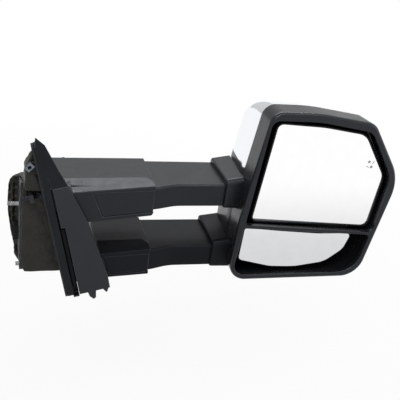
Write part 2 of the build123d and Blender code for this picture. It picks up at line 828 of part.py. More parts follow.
with BuildPart() as arm_end_bushes:
    for side, z in arm_levels.items():
        x = arm_starts[side]
        add(
            bar(
                (x - end_bush, x),
                (cavity_y[0] + slide_clear, cavity_y[1] - slide_clear),
                (z - cavity_half + slide_clear, z + cavity_half - slide_clear),
            )
        )
        add(
            bar(
                (x - end_bush - 1, x + 1),
                (arm_root_rear + arm_wall, arm_front - arm_wall),
                (z - arm_half + arm_wall, z + arm_half - arm_wall),
            ),
            mode=Mode.SUBTRACT,
        )
arm_end_bushes.part.label = "arm_end_bushes"

collar_start = {"upper": 288.0, "lower": 281.0}
collar_end = 316.0
collar_round = 3.0


def collar_shape(side):
    """Solid outer shape of the collar on an arm, which swells towards the head."""
    z = arm_levels[side]
    with BuildPart() as shape:
        for x, low, high in ((collar_start[side], -20, 25), (collar_end, -21, 30)):
            with BuildSketch(Plane(origin=(x, 0, 0), x_dir=(0, 1, 0), z_dir=(1, 0, 0))):
                with Locations((1, z + (low + high) / 2)):
                    RectangleRounded(92, high - low, 8)
        loft(ruled=True)
        fillet(shape.faces().sort_by(Axis.X)[0].edges(), collar_round)
    return shape


def make_collar(side):
    """Collar with the hole for its arm."""
    z = arm_levels[side]
    with BuildPart() as collar:
        add(collar_shape(side).part)
        add(
            bar((270, 330), (arm_rear - 0.2, arm_front + 0.2), (z - arm_half - 0.2, z + arm_half + 0.2)),
            mode=Mode.SUBTRACT,
        )
    return collar


upper_collar = make_collar("upper")
upper_collar.part.label = "upper_collar"
lower_collar = make_collar("lower")
lower_collar.part.label = "lower_collar"

with BuildPart() as arm_room:
    for side, z in arm_levels.items():
        add(collar_shape(side).part)
        add(
            bar(
                (300, arm_tip + 2),
                (arm_rear - seat_clear, arm_front + seat_clear),
                (z - arm_half - seat_clear, z + arm_half + seat_clear),
            )
        )

# ---------------------------------------------------------------- head shell
head_outline = [(303, -76), (304.5, 25), (327.5, 192), (395, 192.2), (488, 179.6), (549, 93.5), (519.5, -76)]
head_corners = [26, 120, 20, 300, 25, 70, 36]
head_left = 303.0
head_low = -76.0
head_width = 246.0
head_height = 268.0
band_inset = (2.0, 2.5, 2.0, 1.0)  # how far the shell stands in from the rim: inboard, outboard, top and bottom
shell_sections = [  # Y and the insets there, from the band to the crown
    (0.0, (2.5, 7.0, 9.5, 3.0)),
    (30.0, (5.0, 22.0, 21.0, 8.0)),
    (54.0, (14.0, 48.0, 40.0, 24.0)),
    (68.0, (42.0, 82.0, 66.0, 50.0)),
    (74.0, (68.0, 112.0, 92.0, 76.0)),
]
crown_drop = 3.5


def head_points(insets):
    """Head outline drawn in from the rim on its four sides, and how much its corners shrink."""
    inboard, outboard, top, bottom = insets
    wide = (head_width - inboard - outboard) / head_width
    high = (head_height - top - bottom) / head_height
    points = [
        (head_left + inboard + (x - head_left) * wide, head_low + bottom + (z - head_low) * high)
        for x, z in head_outline
    ]
    return points, [radius * min(wide, high) for radius in head_corners]


def head_loft(sections, ruled=False):
    """Solid through head outlines, each given as its Y and its insets."""
    with BuildPart() as shape:
        for y, insets in sections:
            points, radii = head_points(insets)
            with BuildSketch(Plane(origin=(0, y, 0), x_dir=(1, 0, 0), z_dir=(0, -1, 0))):
                with BuildLine():
                    FilletPolyline(*points, radius=radii, close=True)
                make_face()
        loft(ruled=ruled)
    return shape


def deeper(insets, by):
    """Insets of a surface that lies inside another by the same distance all round."""
    return tuple(inset + by for inset in insets)


inner_sections = [(y, deeper(insets, wall)) for y, insets in shell_sections]
inner_sections[-1] = (shell_sections[-1][0] - crown_drop, inner_sections[-1][1])
shell_outer = head_loft([(band_y, band_inset)] + shell_sections)
shell_inner = head_loft([(band_y - 1, deeper(band_inset, wall))] + inner_sections)

with BuildPart() as head_shell:
    add(shell_outer.part)
    add(shell_inner.part, mode=Mode.SUBTRACT)

lens_box = bar((455, 700), (-12, 90), (split_z - 15, split_z))
with BuildPart() as chrome_cap:
    add(head_shell.part)
    add(bar((200, 700), (-90, 90), (-200, split_z + part_gap)), mode=Mode.SUBTRACT)
chrome_cap.part.label = "chrome_cap"

with BuildPart() as signal_lens:
    add(head_shell.part)
    add(lens_box, mode=Mode.INTERSECT)
signal_lens.part.label = "signal_lens"

with BuildPart() as lower_housing:
    add(head_shell.part)
    add(bar((200, 700), (-90, 90), (split_z, 300)), mode=Mode.SUBTRACT)
    add(bar((454.6, 700), (-12.4, 90), (split_z - 15.4, split_z + 1)), mode=Mode.SUBTRACT)
    add(arm_room.part, mode=Mode.SUBTRACT)
    with BuildSketch(Plane.XY.offset(-90)):
        with Locations(puddle_place):
            Circle(17)
    extrude(amount=60, mode=Mode.SUBTRACT)
lower_housing.part.label = "lower_housing"


def facing_driver(y):
    """Plane at y whose axes point outboard and up, so that it is drawn as the driver sees it."""
    return Plane(origin=(0, y, 0), x_dir=(1, 0, 0), z_dir=(0, -1, 0))


# ---------------------------------------------------------------- bezel
bezel_round = 5.5
window_round = 2.2
main_window = [(314.5, 19), (329, 180), (400, 180), (484.5, 167.5), (533, 95.5), (524.5, 4.5)]
main_window_corners = [6, 12, 200, 24, 44, 10]
spot_window = [(314, 13), (522.5, -1), (511, -66.5), (308.5, -66.5)]
spot_window_corners = [4, 7, 36, 18]

with BuildPart() as bezel:
    add(head_loft([(rim_y, (0, 0, 0, 0)), (band_y - 0.3, band_inset)], ruled=True).part)
    fillet(bezel.faces().sort_by(Axis.Y)[0].edges(), bezel_round)
    bezel_room = [(rim_y + opening_plate, (3.5, 3.5, 3.5, 3.5)), (band_y + 1, deeper(band_inset, wall))]
    add(head_loft(bezel_room, ruled=True).part, mode=Mode.SUBTRACT)
    with BuildSketch(facing_driver(rim_y - 1)):
        with BuildLine():
            FilletPolyline(*main_window, radius=main_window_corners, close=True)
        make_face()
        with BuildLine():
            FilletPolyline(*spot_window, radius=spot_window_corners, close=True)
        make_face()
    extrude(amount=-opening_plate - 2, mode=Mode.SUBTRACT)
    for window in bezel.faces().sort_by(Axis.Y)[0].inner_wires():
        fillet(window.edges(), window_round)
    add(arm_room.part, mode=Mode.SUBTRACT)
bezel.part.label = "bezel"

# ---------------------------------------------------------------- head frame
frame_points, frame_radii = head_points((11.7, 12.9, 13.2, 13.6))

with BuildPart() as head_frame:
    with BuildSketch(facing_driver(plate_y)):
        with BuildLine():
            FilletPolyline(*frame_points, radius=frame_radii, close=True)
        make_face()
        with Locations((300, 60)):
            Rectangle(104, 400, mode=Mode.SUBTRACT)
        with Locations((470, 30), (470, 150), (400, 158)):
            Circle(9, mode=Mode.SUBTRACT)
    extrude(amount=-4)
    for z in arm_levels.values():
        add(bar((296, 372), (-34.2, 18), (z - 11, z + 11)))
        add(bar((295, 368), (-31, 15), (z - 8, z + 8)), mode=Mode.SUBTRACT)
    add(bar((360, 364), (-10, 15), (-42, 42)))
    with Locations(facing_driver(plate_y - 1)):
        with Locations((391, 58), (459, 58), (391, 122), (459, 122)):
            Hole(screw_r, depth=8)
        with Locations((395, -39), (415, -39)):
            Hole(screw_r, depth=8)
head_frame.part.label = "head_frame"

# ---------------------------------------------------------------- lamps in the head
with BuildPart() as signal_board:
    add(bar((498, 500), (-8, 34), (76, 89)))
    with Locations(Plane.YZ.offset(500)):
        with Locations((-2, 82.5), (13, 82.5), (28, 82.5)):
            Box(5, 5, 1.6, align=(Align.CENTER, Align.CENTER, Align.MIN))
    add(bar((492, 498), (10, 14), (70, 89)))
signal_board.part.label = "signal_board"

lamp_low = puddle_low + puddle_lens_t
with BuildPart() as puddle_lens:
    with BuildSketch(Plane.XY.offset(puddle_low)):
        with Locations(puddle_place):
            Circle(16.8)
    extrude(amount=puddle_lens_t)
puddle_lens.part.label = "puddle_lens"

with BuildPart() as puddle_lamp:
    with BuildSketch(Plane.XY.offset(lamp_low)):
        with Locations(puddle_place):
            Circle(16)
    extrude(amount=14)
    with BuildSketch(Plane.XY.offset(lamp_low)):
        with Locations(puddle_place):
            Circle(13)
    extrude(amount=11, mode=Mode.SUBTRACT)
    with BuildSketch(Plane.XY.offset(lamp_low + 8)):
        with Locations(puddle_place):
            Rectangle(6, 6)
    extrude(amount=4)
puddle_lamp.part.label = "puddle_lamp"

# ---------------------------------------------------------------- glass drive
px, py, pz = main_pivot
case_y = (-34.0, plate_y)
jack_places = {"pan": (px + jack_arm, pz), "tilt": (px, pz - jack_arm)}
case_screws = [(391, 58), (459, 58), (391, 122), (459, 122)]

with BuildPart() as actuator_case:
    with BuildSketch(facing_driver(case_y[1])):
        with Locations((px, pz)):
            RectangleRounded(84, 80, 8)
    extrude(amount=case_y[1] - case_y[0])
    with BuildSketch(facing_driver(case_y[1] - 2)):
        with Locations((px, pz)):
            RectangleRounded(78, 74, 6)
    extrude(amount=40, mode=Mode.SUBTRACT)
    with BuildSketch(facing_driver(case_y[1])):
        with Locations(*case_screws):
            Circle(5)
    extrude(amount=case_y[1] - case_y[0])
    with BuildSketch(facing_driver(case_y[1] + 1)):
        with Locations(*case_screws):
            Circle(screw_r)
    extrude(amount=40, mode=Mode.SUBTRACT)
actuator_case.part.label = "actuator_case"

ear_near = 15.0
ear_far = 19.0
trunnion_r = 1.5


def yoke_ears(pivot):
    """Two ears above and below a pivot that hold the upright trunnions of a gimbal."""
    x, y, z = pivot
    with BuildPart() as ears:
        for low, high in ((-ear_far, -ear_near), (ear_near, ear_far)):
            add(bar((x - 4, x + 4), (y - 3.5, y + 9), (z + low, z + high)))
        with BuildSketch(Plane.XY.offset(z - ear_far - 1)):
            with Locations((x, y)):
                Circle(trunnion_r + running)
        extrude(amount=2 * ear_far + 2, mode=Mode.SUBTRACT)
    return ears


def plate_ears(pivot, back):
    """Two ears beside a pivot, on a mirror's backplate, for the level trunnions of a gimbal."""
    x, y, z = pivot
    with BuildPart() as ears:
        for low, high in ((-ear_far, -ear_near), (ear_near, ear_far)):
            add(bar((x + low, x + high), (back, y + 3.5), (z - 4, z + 4)))
        with BuildSketch(Plane.YZ.offset(x - ear_far - 1)):
            with Locations((y, z)):
                Circle(trunnion_r + running)
        extrude(amount=2 * ear_far + 2, mode=Mode.SUBTRACT)
    return ears


def gimbal(pivot):
    """Ring with two upright and two level trunnions."""
    x, y, z = pivot
    with BuildPart() as ring:
        with BuildSketch(facing_driver(y + 2.5)):
            with Locations((x, z)):
                Circle(13)
                Circle(9, mode=Mode.SUBTRACT)
        extrude(amount=5)
        with BuildSketch(Plane.XY.offset(z + 11)):
            with Locations((x, y)):
                Circle(trunnion_r)
        extrude(amount=ear_far - 11)
        with BuildSketch(Plane.XY.offset(z - ear_far)):
            with Locations((x, y)):
                Circle(trunnion_r)
        extrude(amount=ear_far - 11)
        with BuildSketch(Plane.YZ.offset(x + 11)):
            with Locations((y, z)):
                Circle(trunnion_r)
        extrude(amount=ear_far - 11)
        with BuildSketch(Plane.YZ.offset(x - ear_far)):
            with Locations((y, z)):
                Circle(trunnion_r)
        extrude(amount=ear_far - 11)
    return ring


with BuildPart() as actuator_cover:
    with BuildSketch(facing_driver(case_y[0])):
        with Locations((px, pz)):
            RectangleRounded(84, 80, 8)
        with Locations(*case_screws):
            Circle(screw_r, mode=Mode.SUBTRACT)
        with Locations(*jack_places.values()):
            Circle(jack_r + 0.08, mode=Mode.SUBTRACT)
    extrude(amount=3)
    add(yoke_ears(main_pivot).part)
actuator_cover.part.label = "actuator_cover"

actuator_screws = screws(facing_driver(case_y[0] - 3), case_screws, case_y[1] - case_y[0] + 7, 4, 2)
actuator_screws.part.label = "actuator_screws"


def jack(place):
    """Jack plunger with a ball end that pushes a backplate."""
    x, z = place
    with BuildPart() as plunger:
        with BuildSketch(facing_driver(-21)):
            with Locations((x, z)):
                Circle(jack_r)
        extrude(amount=27)
        with Locations((x, -50.5, z)):
            Sphere(4)
    return plunger


pan_jack = jack(jack_places["pan"])
pan_jack.part.label = "pan_jack"
tilt_jack = jack(jack_places["tilt"])
tilt_jack.part.label = "tilt_jack"


def jack_nut(place):
    """Toothed nut that a worm turns to drive a jack plunger."""
    x, z = place
    teeth = 18
    with BuildPart() as nut:
        with BuildSketch(facing_driver(-25.5)):
            with Locations((x, z)):
                Circle(7)
                with PolarLocations(7.2, teeth):
                    Rectangle(1.4, 1.1)
                Circle(jack_r + 0.08, mode=Mode.SUBTRACT)
        extrude(amount=7)
    return nut


pan_jack_nut = jack_nut(jack_places["pan"])
pan_jack_nut.part.label = "pan_jack_nut"
tilt_jack_nut = jack_nut(jack_places["tilt"])
tilt_jack_nut.part.label = "tilt_jack_nut"

motor_y = -25.0
worm_offset = jack_arm - 10.6
with BuildPart() as drive_motors:
    with BuildSketch(Plane.XY.offset(pz + 9)):
        with Locations((px + worm_offset, motor_y)):
            Circle(6)
    extrude(amount=20)
    with BuildSketch(Plane.YZ.offset(px - 34)):
        with Locations((motor_y, pz - worm_offset)):
            Circle(6)
    extrude(amount=22)
drive_motors.part.label = "drive_motors"

with BuildPart() as drive_worms:
    with BuildSketch(Plane.XY.offset(pz - 6)):
        with Locations((px + worm_offset, motor_y)):
            Circle(2.2)
    extrude(amount=15)
    with BuildSketch(Plane.YZ.offset(px - 12)):
        with Locations((motor_y, pz - worm_offset)):
            Circle(2.2)
    extrude(amount=18)
drive_worms.part.label = "drive_worms"

# ---------------------------------------------------------------- main glass
main_outline = [(328, 21), (343, 171.2), (413, 168), (481, 158.5), (526, 93), (519, 11)]
main_corners = [7, 8, 200, 26, 28, 9]
back_y = (-59.3, -55.3)


def glass_sketch(outline, corners, margin):
    """Outline of a mirror, grown by a margin."""
    with BuildSketch(mode=Mode.PRIVATE) as sketch:
        with BuildLine():
            FilletPolyline(*outline, radius=corners, close=True)
        make_face()
        if margin:
            offset(amount=margin)
    return sketch.sketch


main_gimbal = gimbal(main_pivot)
main_gimbal.part.label = "main_gimbal"

with BuildPart() as main_backplate:
    with BuildSketch(facing_driver(back_y[1])):
        add(glass_sketch(main_outline, main_corners, 2.2))
    extrude(amount=7.2)
    with BuildSketch(facing_driver(back_y[0])):
        add(glass_sketch(main_outline, main_corners, 0.1))
    extrude(amount=4, mode=Mode.SUBTRACT)
    with BuildSketch(facing_driver(back_y[1] + 6)):
        with Locations(*jack_places.values()):
            Circle(7.5)
            Circle(6, mode=Mode.SUBTRACT)
    extrude(amount=6.5)
    add(plate_ears(main_pivot, back_y[1] - 0.5).part)
main_backplate.part.label = "main_backplate"

with BuildPart() as heater_pad:
    with BuildSketch(facing_driver(back_y[0])):
        add(glass_sketch(main_outline, main_corners, -4))
    extrude(amount=0.5)
heater_pad.part.label = "heater_pad"

with BuildPart() as main_glass:
    with BuildSketch(facing_driver(glass_y + glass_t)):
        add(glass_sketch(main_outline, main_corners, 0))
    extrude(amount=glass_t)
main_glass.part.label = "main_glass"

with BuildPart() as blind_spot_mark:
    with BuildSketch(facing_driver(glass_y)):
        with Locations((497, 117), (502, 109)):
            Circle(2.2)
        with Locations((504, 116)):
            Rectangle(1.2, 5, rotation=-30)
        with Locations((496, 109)):
            Rectangle(1.2, 5, rotation=60)
    extrude(amount=0.15)
blind_spot_mark.part.label = "blind_spot_mark"

# ---------------------------------------------------------------- spotter glass
spot_outline = [
    (320, 8), (378, 2), (440, -3.2), (496.5, -3.5), (488, -31), (461, -53), (410, -60.5), (370, -58.5), (318, -45.5)
]
spot_corners = [4, 60, 100, 6, 24, 40, 60, 60, 7]
sx, sy, sz = spot_pivot

with BuildPart() as spot_mount:
    with BuildSketch(facing_driver(plate_y)):
        with Locations((sx, sz)):
            RectangleRounded(34, 42, 5)
    extrude(amount=4)
    add(bar((sx - 4, sx + 4), (sy + 7, plate_y - 3), (sz - ear_far, sz - ear_near)))
    add(bar((sx - 4, sx + 4), (sy + 7, plate_y - 3), (sz + ear_near, sz + ear_far)))
    add(yoke_ears(spot_pivot).part)
spot_mount.part.label = "spot_mount"

spot_gimbal = gimbal(spot_pivot)
spot_gimbal.part.label = "spot_gimbal"

with BuildPart() as spot_backplate:
    with BuildSketch(facing_driver(back_y[1])):
        add(glass_sketch(spot_outline, spot_corners, 1.5))
    extrude(amount=6.2)
    with BuildSketch(facing_driver(glass_y + glass_t)):
        add(glass_sketch(spot_outline, spot_corners, 0.1))
    extrude(amount=6, mode=Mode.SUBTRACT)
    add(plate_ears(spot_pivot, back_y[1] - 0.5).part)
spot_backplate.part.label = "spot_backplate"

with BuildPart() as spot_glass:
    with BuildSketch(facing_driver(glass_y + glass_t)):
        add(glass_sketch(spot_outline, spot_corners, 0))
    extrude(amount=glass_t)
spot_glass.part.label = "spot_glass"

with BuildPart() as slide_spring:
    with BuildSketch(Plane.XY.offset(arm_levels["upper"] - 8)):
        with BuildLine():
            Polyline(
                (142, 42.5), (147, 42.5), (152, 43.8), (157, 43.8), (162, 42.5), (166, 42.5),
                (166, 43.1), (162.2, 43.1), (157.2, 44.4), (151.8, 44.4), (146.8, 43.1), (142, 43.1),
                close=True,
            )
        make_face()
    extrude(amount=16)
slide_spring.part.label = "slide_spring"

# ---------------------------------------------------------------- one file for each piece
export_step(sail_base.part, "parts/sail_base.step")
export_step(door_seal.part, "parts/door_seal.step")
export_step(base_bracket.part, "parts/base_bracket.step")
export_step(mounting_studs.part, "parts/mounting_studs.step")
export_step(foam_gasket.part, "parts/foam_gasket.step")
export_step(captive_bolt.part, "parts/captive_bolt.step")
export_step(u_nut.part, "parts/u_nut.step")
export_step(harness_connector.part, "parts/harness_connector.step")
export_step(connector_pins.part, "parts/connector_pins.step")
export_step(base_leaf.part, "parts/base_hinge_leaf.step")
export_step(arm_leaf.part, "parts/arm_hinge_leaf.step")
export_step(hinge_pin.part, "parts/hinge_pin.step")
export_step(friction_washers.part, "parts/friction_washers.step")
export_step(base_screws.part, "parts/base_screws.step")
export_step(front_screws.part, "parts/front_screws.step")
export_step(upper_sleeve.part, "parts/upper_sleeve.step")
export_step(lower_sleeve.part, "parts/lower_sleeve.step")
export_step(upper_sleeve_insert.part, "parts/upper_sleeve_insert.step")
export_step(lower_sleeve_insert.part, "parts/lower_sleeve_insert.step")
export_step(arm_root_plate.part, "parts/arm_root_plate.step")
export_step(arm_screws.part, "parts/arm_screws.step")
export_step(sail_cover.part, "parts/sail_cover.step")
export_step(sleeve_bushes.part, "parts/sleeve_bushes.step")
export_step(upper_arm.part, "parts/upper_arm.step")
export_step(lower_arm.part, "parts/lower_arm.step")
export_step(arm_end_bushes.part, "parts/arm_end_bushes.step")
export_step(upper_collar.part, "parts/upper_collar.step")
export_step(lower_collar.part, "parts/lower_collar.step")
export_step(chrome_cap.part, "parts/chrome_cap.step")
export_step(signal_lens.part, "parts/signal_lens.step")
export_step(lower_housing.part, "parts/lower_housing.step")
export_step(bezel.part, "parts/bezel.step")
export_step(head_frame.part, "parts/head_frame.step")
export_step(signal_board.part, "parts/signal_board.step")
export_step(puddle_lens.part, "parts/puddle_lens.step")
export_step(puddle_lamp.part, "parts/puddle_lamp.step")
export_step(actuator_case.part, "parts/actuator_case.step")
export_step(actuator_cover.part, "parts/actuator_cover.step")
export_step(actuator_screws.part, "parts/actuator_screws.step")
export_step(pan_jack.part, "parts/pan_jack.step")
export_step(tilt_jack.part, "parts/tilt_jack.step")
export_step(pan_jack_nut.part, "parts/pan_jack_nut.step")
export_step(tilt_jack_nut.part, "parts/tilt_jack_nut.step")
export_step(drive_motors.part, "parts/drive_motors.step")
export_step(drive_worms.part, "parts/drive_worms.step")
export_step(main_gimbal.part, "parts/main_gimbal.step")
export_step(main_backplate.part, "parts/main_backplate.step")
export_step(heater_pad.part, "parts/heater_pad.step")
export_step(main_glass.part, "parts/main_glass.step")
export_step(blind_spot_mark.part, "parts/blind_spot_mark.step")
export_step(spot_mount.part, "parts/spot_mount.step")
export_step(spot_gimbal.part, "parts/spot_gimbal.step")
export_step(spot_backplate.part, "parts/spot_backplate.step")
export_step(spot_glass.part, "parts/spot_glass.step")
export_step(slide_spring.part, "parts/slide_spring.step")
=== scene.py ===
"""Finishes and moulded pieces of a telescoping car side mirror, built around its solid model."""

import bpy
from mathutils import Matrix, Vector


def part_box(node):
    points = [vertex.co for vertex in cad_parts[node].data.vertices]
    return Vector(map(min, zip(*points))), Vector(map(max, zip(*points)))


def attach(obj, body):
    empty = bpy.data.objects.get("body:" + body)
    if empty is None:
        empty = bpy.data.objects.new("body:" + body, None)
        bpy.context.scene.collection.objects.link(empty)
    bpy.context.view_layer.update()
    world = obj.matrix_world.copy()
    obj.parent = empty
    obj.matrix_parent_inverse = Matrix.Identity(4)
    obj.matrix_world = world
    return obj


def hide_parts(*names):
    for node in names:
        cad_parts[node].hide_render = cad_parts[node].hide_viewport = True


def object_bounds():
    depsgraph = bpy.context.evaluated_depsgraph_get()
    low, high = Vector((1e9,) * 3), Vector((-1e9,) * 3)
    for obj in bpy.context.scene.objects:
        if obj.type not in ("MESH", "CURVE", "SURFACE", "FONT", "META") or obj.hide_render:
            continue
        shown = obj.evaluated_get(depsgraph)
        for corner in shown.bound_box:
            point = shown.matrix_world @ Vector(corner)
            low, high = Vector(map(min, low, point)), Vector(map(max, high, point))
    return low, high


bl_info = {
    "name": "Telescoping side mirror",
    "version": (1, 0, 0),
    "blender": (4, 5, 0),
    "location": "3D View > Sidebar > Side mirror",
    "description": "Builds the finishes and moulded pieces of a telescoping car side mirror",
    "category": "Object",
}

from math import cos, pi, radians, sin

import bmesh
import bpy
from bpy.props import FloatProperty, FloatVectorProperty, IntProperty, PointerProperty
from bpy.types import Operator, Panel, PropertyGroup
from mathutils import Matrix, Vector, noise

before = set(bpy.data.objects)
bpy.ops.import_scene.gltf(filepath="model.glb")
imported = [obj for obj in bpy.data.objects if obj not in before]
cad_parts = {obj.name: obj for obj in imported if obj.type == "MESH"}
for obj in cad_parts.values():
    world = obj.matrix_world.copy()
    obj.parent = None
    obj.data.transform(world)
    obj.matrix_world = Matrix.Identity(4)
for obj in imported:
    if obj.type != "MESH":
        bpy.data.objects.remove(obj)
solid_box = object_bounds()
DOOR_LEAN = radians(13.2)  # the door and everything beside it lean inboard


# ---------------------------------------------------------------- settings a user would change
def colour(name, default, description):
    return FloatVectorProperty(
        name=name, description=description, subtype="COLOR", size=3, min=0, max=1, default=default
    )


class PlasticSettings(PropertyGroup):
    """Moulded covers"""

    cover_colour: colour("Cover", (0.0085, 0.009, 0.0108), "Colour of the moulded covers")
    cover_roughness: FloatProperty(
        name="Roughness", description="Matt (1) or glossy (0) covers", default=0.36, min=0, max=1
    )
    cover_shine: FloatProperty(
        name="Shine", description="Strength of the covers' reflection", default=0.32, min=0, max=1
    )
    grain_size: FloatProperty(
        name="Grain", description="Size of the moulded grain", default=0.0007, unit="LENGTH"
    )
    edge_round: FloatProperty(
        name="Edge",
        description="Width of the softened edges of a cover",
        default=0.0014,
        unit="LENGTH",
    )
    # painted highlight: this factor pales the colour along the covers' edges, partly as worn edges
    # and partly as a painted highlight line
    edge_wear_and_highlight: FloatProperty(
        name="Wear", description="How much paler the rubbed edges are", default=4.5, min=0, max=6
    )


class MetalSettings(PropertyGroup):
    """Plated, cast and painted metal"""

    chrome_colour: colour("Chrome", (0.90, 0.915, 0.94), "Colour of the plated cap")
    zinc_colour: colour("Zinc", (0.72, 0.73, 0.75), "Colour of studs and screws")
    clip_colour: colour("Clip", (0.17, 0.19, 0.21), "Colour of the spring clip")
    # partly the hinge's own black coating and partly painted shade: kept darker than the covers so
    # the hinge reads as the deep shade of its groove
    steel_colour: colour("Hinge", (0.004, 0.004, 0.005), "Colour of the black hinge")
    cast_colour: colour("Casting", (0.022, 0.022, 0.024), "Colour of the painted bracket")
    bolt_colour: colour("Bolt", (0.10, 0.09, 0.13), "Colour of the dark bolt")
    thread_pitch: FloatProperty(
        name="Thread",
        description="Distance between two turns of a thread",
        default=0.001,
        unit="LENGTH",
    )


class FoamSettings(PropertyGroup):
    """Foam block round the bracket"""

    foam_colour: colour("Foam", (0.0115, 0.0106, 0.0089), "Colour of the foam's skin")
    foam_skin: FloatProperty(
        name="Skin", description="Size of the foam's surface mesh", default=0.0016, unit="LENGTH"
    )
    foam_soften: IntProperty(
        name="Soften", description="How often the foam's corners are eased", default=9
    )
    foam_crumple: FloatProperty(
        name="Crumple",
        description="Depth of the creases in the foam",
        default=0.0027,
        unit="LENGTH",
    )
    cell_width: FloatProperty(
        name="Cell width",
        description="Width of the moulded cells beside the clamp face",
        default=0.0068,
        unit="LENGTH",
    )
    cell_height: FloatProperty(
        name="Cell height", description="Height of the moulded cells", default=0.0125, unit="LENGTH"
    )
    cell_depth: FloatProperty(
        name="Cell depth", description="Depth of the moulded cells", default=0.0030, unit="LENGTH"
    )


class GlassSettings(PropertyGroup):
    """Mirror glasses"""

    silver_colour: colour("Silvering", (0.99, 0.992, 1.0), "Colour of the silvered glass")
    spot_colour: colour("Spotter", (0.90, 0.91, 0.92), "Colour of the small convex glass")
    mark_colour: colour("Mark", (0.42, 0.43, 0.45), "Colour of the blind-spot mark")


class StageSettings(PropertyGroup):
    """Camera, lamps and floor"""

    camera_place: FloatVectorProperty(
        name="Camera",
        description="Place of the camera",
        subtype="TRANSLATION",
        unit="LENGTH",
        default=(-0.0384, -0.9076, 0.4794),
    )
    azimuth: FloatProperty(
        name="Azimuth", description="Camera's turn", subtype="ANGLE", default=radians(-18.5)
    )
    elevation: FloatProperty(
        name="Elevation",
        description="Camera's height angle",
        subtype="ANGLE",
        default=radians(25.5),
    )
    roll: FloatProperty(
        name="Roll", description="Camera's roll", subtype="ANGLE", default=radians(8.2)
    )
    lens: FloatProperty(name="Lens", description="Focal length in mm", default=63.0)
    floor_drop: FloatProperty(
        name="Floor", description="Floor below the object", default=0.30, unit="LENGTH"
    )
    floor_size: FloatProperty(
        name="Floor size", description="Floor's width", default=24.0, unit="LENGTH"
    )


SETTINGS = {
    "mirror_plastic": PlasticSettings,
    "mirror_metal": MetalSettings,
    "mirror_foam": FoamSettings,
    "mirror_glass": GlassSettings,
    "mirror_stage": StageSettings,
}


# ---------------------------------------------------------------- finishes
NOISE_RANGE = (0.3, 0.7)  # most of a noise texture's values lie between these
EDGE_TURN = (0.97, 0.72)  # how square a face is to its rolled normal where the paler edges, partly worn and partly a painted highlight, begin and are full
COOL_SHINE = (0.86, 0.92, 1.0, 1)  # tint of the moulded plastic's reflection
WHITE = (1, 1, 1, 1)


class Graph:
    """Short way to add shader nodes to a material or world."""

    def __init__(self, tree):
        self.tree = tree
        tree.nodes.clear()

    def node(self, kind, **values):
        made = self.tree.nodes.new(kind)
        for name, value in values.items():
            if hasattr(made, name):
                setattr(made, name, value)
            else:
                made.inputs[name.replace("_", " ")].default_value = value
        return made

    def link(self, source, target):
        self.tree.links.new(source, target)


def new_finish(name):
    material = bpy.data.materials.new(name)
    material.use_nodes = True
    graph = Graph(material.node_tree)
    shader = graph.node("ShaderNodeBsdfPrincipled")
    output = graph.node("ShaderNodeOutputMaterial")
    graph.link(shader.outputs["BSDF"], output.inputs["Surface"])
    place = graph.node("ShaderNodeTexCoord").outputs["Object"]
    return material, graph, shader, place


def speckle(graph, place, size, detail=2.0, rough=0.5):
    """Noise whose blotches are about size across."""
    made = graph.node("ShaderNodeTexNoise", Scale=1.0 / size, Detail=detail, Roughness=rough)
    graph.link(place, made.inputs["Vector"])
    return made.outputs["Fac"]


def graded(graph, value, start, end, low, high, smooth=False):
    """Value mapped from start..end to low..high, and held level beyond them."""
    made = graph.node("ShaderNodeMapRange")
    if smooth:
        made.interpolation_type = "SMOOTHSTEP"
    for name, number in (("From Min", start), ("From Max", end), ("To Min", low), ("To Max", high)):
        made.inputs[name].default_value = number
    graph.link(value, made.inputs["Value"])
    return made.outputs["Result"]


def spread(graph, value, low, high):
    """Noise value mapped to the range low..high."""
    return graded(graph, value, *NOISE_RANGE, low, high)


def tint(graph, value, dark, light):
    """Colour that drifts between dark and light with a noise value."""
    ramp = graph.node("ShaderNodeValToRGB")
    for stop, position, shown in zip(ramp.color_ramp.elements, NOISE_RANGE, (dark, light)):
        stop.position = position
        stop.color = (*shown, 1)
    graph.link(value, ramp.inputs["Fac"])
    return ramp.outputs["Color"]


def relief(graph, shader, height, depth, strength=1.0):
    """Bump of the given depth in metres."""
    bump = graph.node("ShaderNodeBump", Strength=strength, Distance=depth)
    graph.link(height, bump.inputs["Height"])
    graph.link(bump.outputs["Normal"], shader.inputs["Normal"])
    return bump


def shade(base, factor):
    return tuple(min(1.0, channel * factor) for channel in base)


def soft_edges(graph, radius):
    """Normal that rolls over sharp edges, and a mask: 0 on the flats, up to 1 on the edges."""
    rolled = graph.node("ShaderNodeBevel", samples=8, Radius=radius)
    flat = graph.node("ShaderNodeNewGeometry")
    turned = graph.node("ShaderNodeVectorMath", operation="DOT_PRODUCT")
    graph.link(rolled.outputs["Normal"], turned.inputs[0])
    graph.link(flat.outputs["Normal"], turned.inputs[1])
    mask = graded(graph, turned.outputs["Value"], *EDGE_TURN, 0.0, 1.0)
    return rolled.outputs["Normal"], mask


